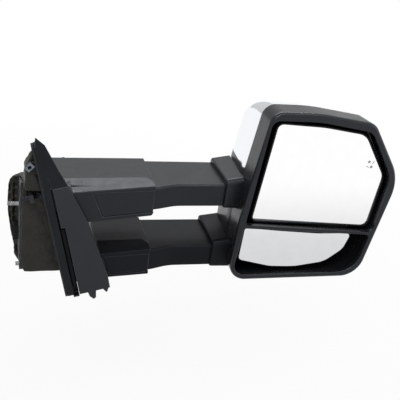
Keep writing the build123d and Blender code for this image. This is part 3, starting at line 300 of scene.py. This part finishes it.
def moulded(
    name, base, roughness, grain, drift=0.18, depth=0.00006, shine=0.5, edge=0.0, wear_and_highlight=0.0
):
    """Moulded plastic: fine grain, a soft drift in tone and gloss, and edges painted paler, partly
    as worn edges and partly as a painted highlight.
    """
    material, graph, shader, place = new_finish(name)
    shader.inputs["Specular IOR Level"].default_value = shine
    shader.inputs["Specular Tint"].default_value = COOL_SHINE
    patches = speckle(graph, place, 0.035, detail=3)
    toned = tint(graph, patches, shade(base, 1 - drift), shade(base, 1 + drift))
    gloss = speckle(graph, place, 0.012, detail=4)
    graph.link(spread(graph, gloss, roughness - 0.05, roughness + 0.05), shader.inputs["Roughness"])
    bump = relief(graph, shader, speckle(graph, place, grain, detail=3, rough=0.6), depth)
    if edge:
        rolled, mask = soft_edges(graph, edge)
        graph.link(rolled, bump.inputs["Normal"])
        # painted highlight: the base colour turns paler along the edges, partly worn edges and
        # partly a painted highlight line
        worn_and_highlit = graph.node("ShaderNodeMix", data_type="RGBA")
        worn_and_highlit.inputs["B"].default_value = (*shade(base, 1 + 3 * wear_and_highlight), 1)
        graph.link(mask, worn_and_highlit.inputs["Factor"])
        graph.link(toned, worn_and_highlit.inputs["A"])
        toned = worn_and_highlit.outputs["Result"]
    graph.link(toned, shader.inputs["Base Color"])
    return material


def metal(name, base, roughness, grain, depth, drift=0.06, edge=0.0):
    """Metal with a fine surface grain and a slight drift in tone."""
    material, graph, shader, place = new_finish(name)
    shader.inputs["Metallic"].default_value = 1.0
    patches = speckle(graph, place, 0.02, detail=4)
    toned = tint(graph, patches, shade(base, 1 - drift), shade(base, 1 + drift))
    graph.link(toned, shader.inputs["Base Color"])
    gloss = speckle(graph, place, 0.006, detail=3)
    graph.link(spread(graph, gloss, roughness * 0.75, roughness * 1.25), shader.inputs["Roughness"])
    bump = relief(graph, shader, speckle(graph, place, grain, detail=2), depth)
    if edge:
        rolled, _ = soft_edges(graph, edge)
        graph.link(rolled, bump.inputs["Normal"])
    return material


def threaded(name, base, roughness, pitch, lean):
    """Metal rod with a rolled thread square to X, leant by an angle in the XZ plane."""
    material, graph, shader, place = new_finish(name)
    shader.inputs["Metallic"].default_value = 1.0
    patches = speckle(graph, place, 0.004, detail=4)
    toned = tint(graph, patches, shade(base, 0.75), shade(base, 1.25))
    graph.link(toned, shader.inputs["Base Color"])
    gloss = speckle(graph, place, 0.003, detail=3)
    graph.link(spread(graph, gloss, roughness - 0.08, roughness + 0.08), shader.inputs["Roughness"])
    turned = graph.node("ShaderNodeMapping", vector_type="POINT")
    turned.inputs["Rotation"].default_value = (0, lean, 0)
    graph.link(place, turned.inputs["Vector"])
    turns = graph.node(
        "ShaderNodeTexWave", wave_type="BANDS", bands_direction="X", wave_profile="TRI"
    )
    turns.inputs["Scale"].default_value = pi / (10 * pitch)
    turns.inputs["Distortion"].default_value = 0.0
    graph.link(turned.outputs["Vector"], turns.inputs["Vector"])
    relief(graph, shader, turns.outputs["Fac"], 0.0006)
    return material


def foam_skin_finish(name, base):
    """Foam with a closed skin: mottled, a little greasy, with fine pores and shallow wrinkles."""
    material, graph, shader, place = new_finish(name)
    shader.inputs["Specular IOR Level"].default_value = 0.36
    blotches = speckle(graph, place, 0.018, detail=6, rough=0.65)
    toned = tint(graph, blotches, shade(base, 0.45), shade(base, 1.9))
    graph.link(toned, shader.inputs["Base Color"])
    grease = speckle(graph, place, 0.009, detail=4)
    graph.link(spread(graph, grease, 0.30, 0.70), shader.inputs["Roughness"])
    wrinkles = relief(graph, shader, speckle(graph, place, 0.006, detail=5, rough=0.6), 0.0011)
    pores = graph.node("ShaderNodeBump", Strength=0.5, Distance=0.0002)
    graph.link(speckle(graph, place, 0.0008, detail=2), pores.inputs["Height"])
    graph.link(pores.outputs["Normal"], wrinkles.inputs["Normal"])
    return material


def finishes():
    """Every finish, made once and kept by name."""
    if "cover_black" in bpy.data.materials:
        return bpy.data.materials
    plastic = bpy.context.scene.mirror_plastic
    metals = bpy.context.scene.mirror_metal
    glass = bpy.context.scene.mirror_glass
    foam = bpy.context.scene.mirror_foam
    cover = tuple(plastic.cover_colour)
    grain = plastic.grain_size
    matt = plastic.cover_roughness
    shine = plastic.cover_shine
    edge = plastic.edge_round
    wear_and_highlight = plastic.edge_wear_and_highlight
    moulded("cover_black", cover, matt, grain, shine=shine, edge=edge, wear_and_highlight=wear_and_highlight)
    moulded("arm_black", cover, matt - 0.03, grain, shine=shine, edge=edge, wear_and_highlight=wear_and_highlight)
    # painted shade: a copy of the cover finish with a much weaker reflection, so the lower sleeve,
    # arm and collar look shaded by the upper arm
    moulded("shaded_lower_black", cover, matt, grain, shine=0.36 * shine, edge=edge, wear_and_highlight=wear_and_highlight)
    moulded("fin_black", cover, matt + 0.06, grain, shine=0.6 * shine, edge=edge, wear_and_highlight=wear_and_highlight)
    moulded("rim_black", shade(cover, 1.3), matt - 0.12, grain, depth=0.000003, shine=1.05 * shine)
    moulded("sail_black", cover, matt, grain, shine=1.45 * shine, edge=edge, wear_and_highlight=wear_and_highlight)
    moulded("inner_black", (0.006, 0.006, 0.007), 0.6, 0.001, shine=0.3)
    moulded("rubber_black", (0.010, 0.010, 0.010), 0.6, 0.0005, shine=0.4, edge=edge)
    cast = tuple(metals.cast_colour)
    moulded("cast_black", cast, 0.5, 0.0012, drift=0.25, depth=0.0001, shine=0.4, edge=0.0006)
    # painted shade: the hinge finish is near black with little reflection, partly its black coating
    # and partly the groove's shade painted on
    moulded("hinge_black_shaded", tuple(metals.steel_colour), 0.55, 0.0008, drift=0.3, shine=0.12)
    moulded("nylon_white", (0.62, 0.61, 0.57), 0.4, 0.001)
    moulded("board_green", (0.02, 0.11, 0.05), 0.35, 0.001)
    moulded("heater_film", (0.20, 0.10, 0.05), 0.4, 0.002)
    moulded("mark_grey", tuple(glass.mark_colour), 0.5, 0.0005)
    moulded("lens_amber", (0.75, 0.26, 0.02), 0.12, 0.003, depth=0.0001)
    moulded("lens_clear", (0.65, 0.68, 0.72), 0.08, 0.003, depth=0.0001)
    metal("chrome_plate", tuple(metals.chrome_colour), 0.06, 0.004, 0.000004, drift=0.02)
    metal("zinc_plate", tuple(metals.zinc_colour), 0.32, 0.0006, 0.00003)
    metal("clip_zinc", tuple(metals.clip_colour), 0.42, 0.0006, 0.00004, drift=0.15, edge=0.0005)
    threaded("stud_zinc", tuple(metals.zinc_colour), 0.3, metals.thread_pitch, 0.0)
    threaded("bolt_dark", tuple(metals.bolt_colour), 0.38, metals.thread_pitch, DOOR_LEAN)
    metal("brass", (0.66, 0.46, 0.18), 0.3, 0.0006, 0.00002)
    metal("mirror_silver", tuple(glass.silver_colour), 0.015, 0.05, 0.0000005, drift=0.01)
    metal("mirror_spot", tuple(glass.spot_colour), 0.02, 0.05, 0.0000005, drift=0.02)
    foam_skin_finish("foam_black", tuple(foam.foam_colour))
    return bpy.data.materials


def dress(name, *nodes):
    """Gives CAD nodes a finish."""
    material = finishes()[name]
    for node in nodes:
        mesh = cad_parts[node].data
        mesh.materials.clear()
        mesh.materials.append(material)


# ---------------------------------------------------------------- stage
class MIRROR_OT_stage(Operator):
    """Camera, lamps, world and floor"""

    bl_idname = "mirror.stage"
    bl_label = "Stage"

    def execute(self, context):
        stage = context.scene.mirror_stage
        context.scene.view_settings.view_transform = "Standard"
        self.add_camera(context, stage)
        self.add_world(context)
        self.add_lamps()
        self.add_floor(stage)
        return {"FINISHED"}

    def add_camera(self, context, stage):
        turn, lift, roll = stage.azimuth, stage.elevation, stage.roll
        back = Vector((sin(turn) * cos(lift), -cos(turn) * cos(lift), sin(lift)))
        level = Vector((cos(turn), sin(turn), 0))
        upright = back.cross(level)
        right = level * cos(roll) + upright * sin(roll)
        up = upright * cos(roll) - level * sin(roll)
        camera = bpy.data.objects.new("camera", bpy.data.cameras.new("camera"))
        camera.data.lens = stage.lens
        camera.data.sensor_width = 36
        camera.data.clip_end = 100
        turned = Matrix((right, up, back)).transposed().to_4x4()
        camera.matrix_world = Matrix.Translation(stage.camera_place) @ turned
        context.scene.collection.objects.link(camera)
        context.scene.camera = camera

    def add_world(self, context):
        """White studio: plain white to look at, dimmer low down in reflections, and a soft fill."""
        world = bpy.data.worlds.new("studio")
        context.scene.world = world
        world.use_nodes = True
        graph = Graph(world.node_tree)
        output = graph.node("ShaderNodeOutputWorld")
        seen = graph.node("ShaderNodeBackground", Color=WHITE, Strength=1.0)
        fill = graph.node("ShaderNodeBackground", Color=WHITE, Strength=0.34)
        mirrored = graph.node("ShaderNodeBackground", Strength=1.0)
        way = graph.node("ShaderNodeTexCoord").outputs["Generated"]
        height = towards(graph, way, (0.55, 0.0, 0.85))
        wall = graded(graph, height, -0.75, 0.30, 0.84, 1.0, smooth=True)
        behind = towards(graph, way, (0.0, 0.92, -0.40))
        gloom = graded(graph, behind, 0.15, 0.75, 1.0, 0.66, smooth=True)
        graph.link(wall, mirrored.inputs["Color"])
        graph.link(gloom, mirrored.inputs["Strength"])
        path = graph.node("ShaderNodeLightPath")
        lit = mixed(graph, path.outputs["Is Glossy Ray"], fill, mirrored)
        straight = greater(
            graph, path.outputs["Is Camera Ray"], path.outputs["Is Transmission Ray"]
        )
        graph.link(mixed(graph, straight, lit, seen).outputs[0], output.inputs["Surface"])

    def add_lamps(self):
        """Softboxes: name, place, aim, width, height and power."""
        for name, place, aim, width, height, power in (
            ("key", (-0.5, -1.5, 1.7), (0.25, 0, 0), 1.2, 1.2, 13.0),
            ("back_strip", (0.35, 1.32, 1.53), (0.18, -0.03, 0.07), 2.0, 0.50, 20.0),
            ("top_strip", (0.50, -0.86, 1.78), (0.2, -0.05, 0.05), 2.0, 0.35, 9.0),
            ("side", (2.0, -0.8, 0.7), (0.3, 0, 0), 1.0, 1.0, 3.0),
        ):
            lamp = bpy.data.lights.new(name, "AREA")
            lamp.shape = "RECTANGLE"
            lamp.size = width
            lamp.size_y = height
            lamp.energy = power
            holder = bpy.data.objects.new(name, lamp)
            holder.location = place
            sight = Vector(aim) - Vector(place)
            holder.rotation_euler = sight.to_track_quat("-Z", "Y").to_euler()
            bpy.context.scene.collection.objects.link(holder)

    def add_floor(self, stage):
        """White floor that keeps a faint shadow and is a little dimmer near the object in glass."""
        mesh = bpy.data.meshes.new("floor")
        half = stage.floor_size / 2
        height = solid_box[0][2] - stage.floor_drop
        outline = ((-half, -half), (half, -half), (half, half), (-half, half))
        corners = [(x, y, height) for x, y in outline]
        mesh.from_pydata(corners, [], [(0, 1, 2, 3)])
        floor = bpy.data.objects.new("floor", mesh)
        bpy.context.scene.collection.objects.link(floor)
        material = bpy.data.materials.new("floor_white")
        material.use_nodes = True
        graph = Graph(material.node_tree)
        output = graph.node("ShaderNodeOutputMaterial")
        matt = graph.node("ShaderNodeBsdfDiffuse", Color=(0.9, 0.9, 0.9, 1))
        glow = graph.node("ShaderNodeEmission", Color=WHITE, Strength=1.0)
        place = graph.node("ShaderNodeTexCoord").outputs["Object"]
        spot = graph.node("ShaderNodeSeparateXYZ")
        graph.link(place, spot.inputs[0])
        moved = graph.node("ShaderNodeMath", operation="ADD")
        moved.inputs[1].default_value = 0.25
        graph.link(spot.outputs["Y"], moved.inputs[0])
        apart = graph.node("ShaderNodeMath", operation="ABSOLUTE")
        graph.link(moved.outputs[0], apart.inputs[0])
        away = graded(graph, apart.outputs[0], 0.35, 0.85, 0.74, 1.0, smooth=True)
        camera_ray = graph.node("ShaderNodeLightPath").outputs["Is Camera Ray"]
        graph.link(greater(graph, away, camera_ray), glow.inputs["Strength"])
        span = graph.node("ShaderNodeVectorMath", operation="LENGTH")
        graph.link(place, span.inputs[0])
        fade = graded(graph, span.outputs["Value"], 0.7, 1.6, 0.14, 0.0)
        pale = mixed(graph, fade, glow, matt)
        shown = mixed(graph, plain_view(graph), matt, pale)
        graph.link(shown.outputs[0], output.inputs["Surface"])
        mesh.materials.append(material)


def towards(graph, way, direction):
    """How far a direction agrees with a given one."""
    made = graph.node("ShaderNodeVectorMath", operation="DOT_PRODUCT")
    made.inputs[1].default_value = direction
    graph.link(way, made.inputs[0])
    return made.outputs["Value"]


def greater(graph, first, second):
    """The greater of two values."""
    made = graph.node("ShaderNodeMath", operation="MAXIMUM")
    graph.link(first, made.inputs[0])
    graph.link(second, made.inputs[1])
    return made.outputs[0]


def mixed(graph, share, first, second):
    """Shader that goes from the first to the second as share goes from 0 to 1."""
    made = graph.node("ShaderNodeMixShader")
    graph.link(share, made.inputs[0])
    graph.link(first.outputs[0], made.inputs[1])
    graph.link(second.outputs[0], made.inputs[2])
    return made


def plain_view(graph):
    """1 where a camera, glossy or transmission ray looks, else 0."""
    path = graph.node("ShaderNodeLightPath")
    seen = greater(graph, path.outputs["Is Camera Ray"], path.outputs["Is Glossy Ray"])
    return greater(graph, seen, path.outputs["Is Transmission Ray"])


# ---------------------------------------------------------------- foam
NOSE_WALL = 0.0052  # thickness of the foam wall in front of the clamp face
CELL_REACH = 0.0022  # a vertex this near to the wall's plane can lie in a cell
CELL_START = -0.0165  # X where the columns of cells begin
CELL_TOP = 0.030  # no cells above this height
CELL_RIBS = (0.0016, 0.0022)  # foam left between two cells, across and along
CREASE_FLOOR = 0.25  # share of the creasing that the lower part has
CREASE_RISE = (0.040, 0.03)  # height where creasing begins to grow, and over how much height
SKIN_INSET = 0.0004  # the skin lies this far inside the solid


def skinned_copy(node, name, voxel):
    """New object whose mesh is the node's shape, skinned afresh in even small faces."""
    piece = bpy.data.objects.new(name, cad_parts[node].data.copy())
    bpy.context.scene.collection.objects.link(piece)
    skin = piece.modifiers.new("skin", "REMESH")
    skin.mode = "VOXEL"
    skin.voxel_size = voxel
    graph = bpy.context.evaluated_depsgraph_get()
    mesh = bpy.data.meshes.new_from_object(piece.evaluated_get(graph))
    piece.modifiers.clear()
    piece.data = mesh
    mesh.name = name
    return piece


def cell_sink(place, facing, foam, wall_rear):
    """How far a point of the wall beside the clamp face lies in a moulded cell, from 0 to 1."""
    off_wall = facing.y > -0.75 or abs(place.y - wall_rear) > CELL_REACH
    if off_wall or place.x > 0.0 or place.z > CELL_TOP:
        return 0.0
    column = (place.x - CELL_START) / (foam.cell_width + CELL_RIBS[0])
    shift = 0.5 * (int(column) % 2)
    row = place.z / (foam.cell_height + CELL_RIBS[1]) + shift
    across = abs(column % 1.0 - 0.5) * 2
    along = abs(row % 1.0 - 0.5) * 2
    return max(0.0, min(1.0, (0.80 - across) * 6)) * max(0.0, min(1.0, (0.86 - along) * 8))


def crease(place, foam):
    """How far the skin is pressed in at a point by folds and, higher up, by sharp ridges."""
    upper = max(CREASE_FLOOR, min(1.0, (place.z - CREASE_RISE[0]) / CREASE_RISE[1]))
    folds = noise.fractal(Vector((place.x * 95, place.y * 70, place.z * 45)), 1.0, 2.0, 3)
    slanted = Vector((place.x * 60 + place.z * 55, place.y * 85, place.z * 30 - place.x * 40))
    ridges = abs(noise.noise(slanted))
    depth = 0.25 * max(0.0, folds) + upper * 1.1 * max(0.0, 0.55 - ridges)
    return SKIN_INSET + foam.foam_crumple * depth


class MIRROR_OT_foam(Operator):
    """Foam block with eased corners, creases and moulded cells"""

    bl_idname = "mirror.foam"
    bl_label = "Foam block"

    def execute(self, context):
        foam = context.scene.mirror_foam
        piece = skinned_copy("foam_gasket", "foam_block", foam.foam_skin)
        wall_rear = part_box("foam_gasket")[1][1] - NOSE_WALL
        shape = bmesh.new()
        shape.from_mesh(piece.data)
        axes = {"use_axis_x": True, "use_axis_y": True, "use_axis_z": True}
        for _ in range(foam.foam_soften):
            bmesh.ops.smooth_vert(shape, verts=shape.verts, factor=0.5, **axes)
        shape.normal_update()
        moves = []
        for vertex in shape.verts:
            cell = cell_sink(vertex.co, vertex.normal, foam, wall_rear)
            sunk = crease(vertex.co, foam) + cell * foam.cell_depth
            moves.append((vertex, -vertex.normal * sunk))
        for vertex, move in moves:
            vertex.co += move
        for face in shape.faces:
            face.smooth = True
        shape.to_mesh(piece.data)
        shape.free()
        piece.data.materials.clear()
        piece.data.materials.append(finishes()["foam_black"])
        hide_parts("foam_gasket")
        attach(piece, "door_base")
        return {"FINISHED"}


# ---------------------------------------------------------------- finishes of the other pieces
class MIRROR_OT_sail(Operator):
    """Door flange with its fin, the seal behind it and the cover that folds"""

    bl_idname = "mirror.sail"
    bl_label = "Sail"

    def execute(self, context):
        dress("sail_black", "sail_cover")
        dress("fin_black", "sail_base")
        dress("rubber_black", "door_seal")
        return {"FINISHED"}


class MIRROR_OT_bracket(Operator):
    """Cast bracket, studs, bolt, spring clip and screws"""

    bl_idname = "mirror.bracket"
    bl_label = "Bracket and fasteners"

    def execute(self, context):
        dress("cast_black", "base_bracket")
        dress("stud_zinc", "mounting_studs")
        dress("bolt_dark", "captive_bolt")
        dress("clip_zinc", "u_nut")
        dress("zinc_plate", "base_screws", "front_screws")
        return {"FINISHED"}


class MIRROR_OT_socket(Operator):
    """Wiring socket and its pins"""

    bl_idname = "mirror.socket"
    bl_label = "Wiring socket"

    def execute(self, context):
        dress("inner_black", "harness_connector")
        dress("brass", "connector_pins")
        return {"FINISHED"}


class MIRROR_OT_hinge(Operator):
    """Black hinge in the groove"""

    bl_idname = "mirror.hinge"
    bl_label = "Fold hinge"

    def execute(self, context):
        # painted shade: the hinge parts take a near-black finish that stands in for the shade of
        # the groove, over their own black coating
        dress("hinge_black_shaded", "base_hinge_leaf", "arm_hinge_leaf", "hinge_pin", "friction_washers")
        dress("cast_black", "arm_root_plate")
        dress("zinc_plate", "arm_screws")
        return {"FINISHED"}


class MIRROR_OT_sleeves(Operator):
    """Outer sleeves with their panels and bushes"""

    bl_idname = "mirror.sleeves"
    bl_label = "Sleeves"

    def execute(self, context):
        dress("cover_black", "upper_sleeve", "upper_sleeve_insert")
        # painted shade: the lower sleeve and its panel take the shaded copy of the cover finish
        dress("shaded_lower_black", "lower_sleeve", "lower_sleeve_insert")
        dress("nylon_white", "sleeve_bushes")
        return {"FINISHED"}


class MIRROR_OT_arms(Operator):
    """Sliding arms, their end bushes, the slide spring and the collars"""

    bl_idname = "mirror.arms"
    bl_label = "Sliding arms"

    def execute(self, context):
        dress("arm_black", "upper_arm", "upper_collar")
        # painted shade: the lower arm and collar take the shaded copy of the cover finish
        dress("shaded_lower_black", "lower_arm", "lower_collar")
        dress("nylon_white", "arm_end_bushes")
        dress("zinc_plate", "slide_spring")
        return {"FINISHED"}


class MIRROR_OT_head(Operator):
    """Bezel, lower housing, plated cap and inner frame"""

    bl_idname = "mirror.head"
    bl_label = "Head covers"

    def execute(self, context):
        dress("rim_black", "bezel", "lower_housing")
        dress("chrome_plate", "chrome_cap")
        dress("inner_black", "head_frame")
        return {"FINISHED"}


class MIRROR_OT_lamps(Operator):
    """Turn signal and puddle lamp"""

    bl_idname = "mirror.lamps"
    bl_label = "Lamps"

    def execute(self, context):
        dress("lens_amber", "signal_lens")
        dress("board_green", "signal_board")
        dress("lens_clear", "puddle_lens")
        dress("inner_black", "puddle_lamp")
        return {"FINISHED"}


class MIRROR_OT_glasses(Operator):
    """Both mirrors with their backs, heater and mark"""

    bl_idname = "mirror.glasses"
    bl_label = "Glasses"

    def execute(self, context):
        dress("mirror_silver", "main_glass")
        dress("mirror_spot", "spot_glass")
        dress("mark_grey", "blind_spot_mark")
        dress("inner_black", "main_backplate", "spot_backplate")
        dress("heater_film", "heater_pad")
        return {"FINISHED"}


class MIRROR_OT_drive(Operator):
    """Glass drive: case, gimbals, jacks, nuts, worms and motors"""

    bl_idname = "mirror.drive"
    bl_label = "Glass drive"

    def execute(self, context):
        dress("inner_black", "actuator_case", "actuator_cover", "spot_mount")
        dress("nylon_white", "main_gimbal", "spot_gimbal", "pan_jack", "tilt_jack")
        dress("brass", "pan_jack_nut", "tilt_jack_nut", "drive_worms")
        dress("zinc_plate", "drive_motors", "actuator_screws")
        return {"FINISHED"}


class MIRROR_PT_panel(Panel):
    """Lists the settings and the operators"""

    bl_idname = "MIRROR_PT_panel"
    bl_label = "Side mirror"
    bl_space_type = "VIEW_3D"
    bl_region_type = "UI"
    bl_category = "Side mirror"

    def draw(self, context):
        for name, group in SETTINGS.items():
            box = self.layout.box()
            box.label(text=group.__doc__)
            for field in group.__annotations__:
                box.prop(getattr(context.scene, name), field)
        for operator in OPERATORS:
            self.layout.operator(operator.bl_idname)


OPERATORS = (
    MIRROR_OT_stage,
    MIRROR_OT_foam,
    MIRROR_OT_sail,
    MIRROR_OT_bracket,
    MIRROR_OT_socket,
    MIRROR_OT_hinge,
    MIRROR_OT_sleeves,
    MIRROR_OT_arms,
    MIRROR_OT_head,
    MIRROR_OT_lamps,
    MIRROR_OT_glasses,
    MIRROR_OT_drive,
)


def register():
    for made in (*SETTINGS.values(), *OPERATORS, MIRROR_PT_panel):
        bpy.utils.register_class(made)
    for name, group in SETTINGS.items():
        setattr(bpy.types.Scene, name, PointerProperty(type=group))


def unregister():
    for name in SETTINGS:
        delattr(bpy.types.Scene, name)
    for made in reversed((*SETTINGS.values(), *OPERATORS, MIRROR_PT_panel)):
        bpy.utils.unregister_class(made)


def main():
    register()
    for operator in OPERATORS:
        group, name = operator.bl_idname.split(".")
        getattr(getattr(bpy.ops, group), name)()


if __name__ == "__main__":
    main()
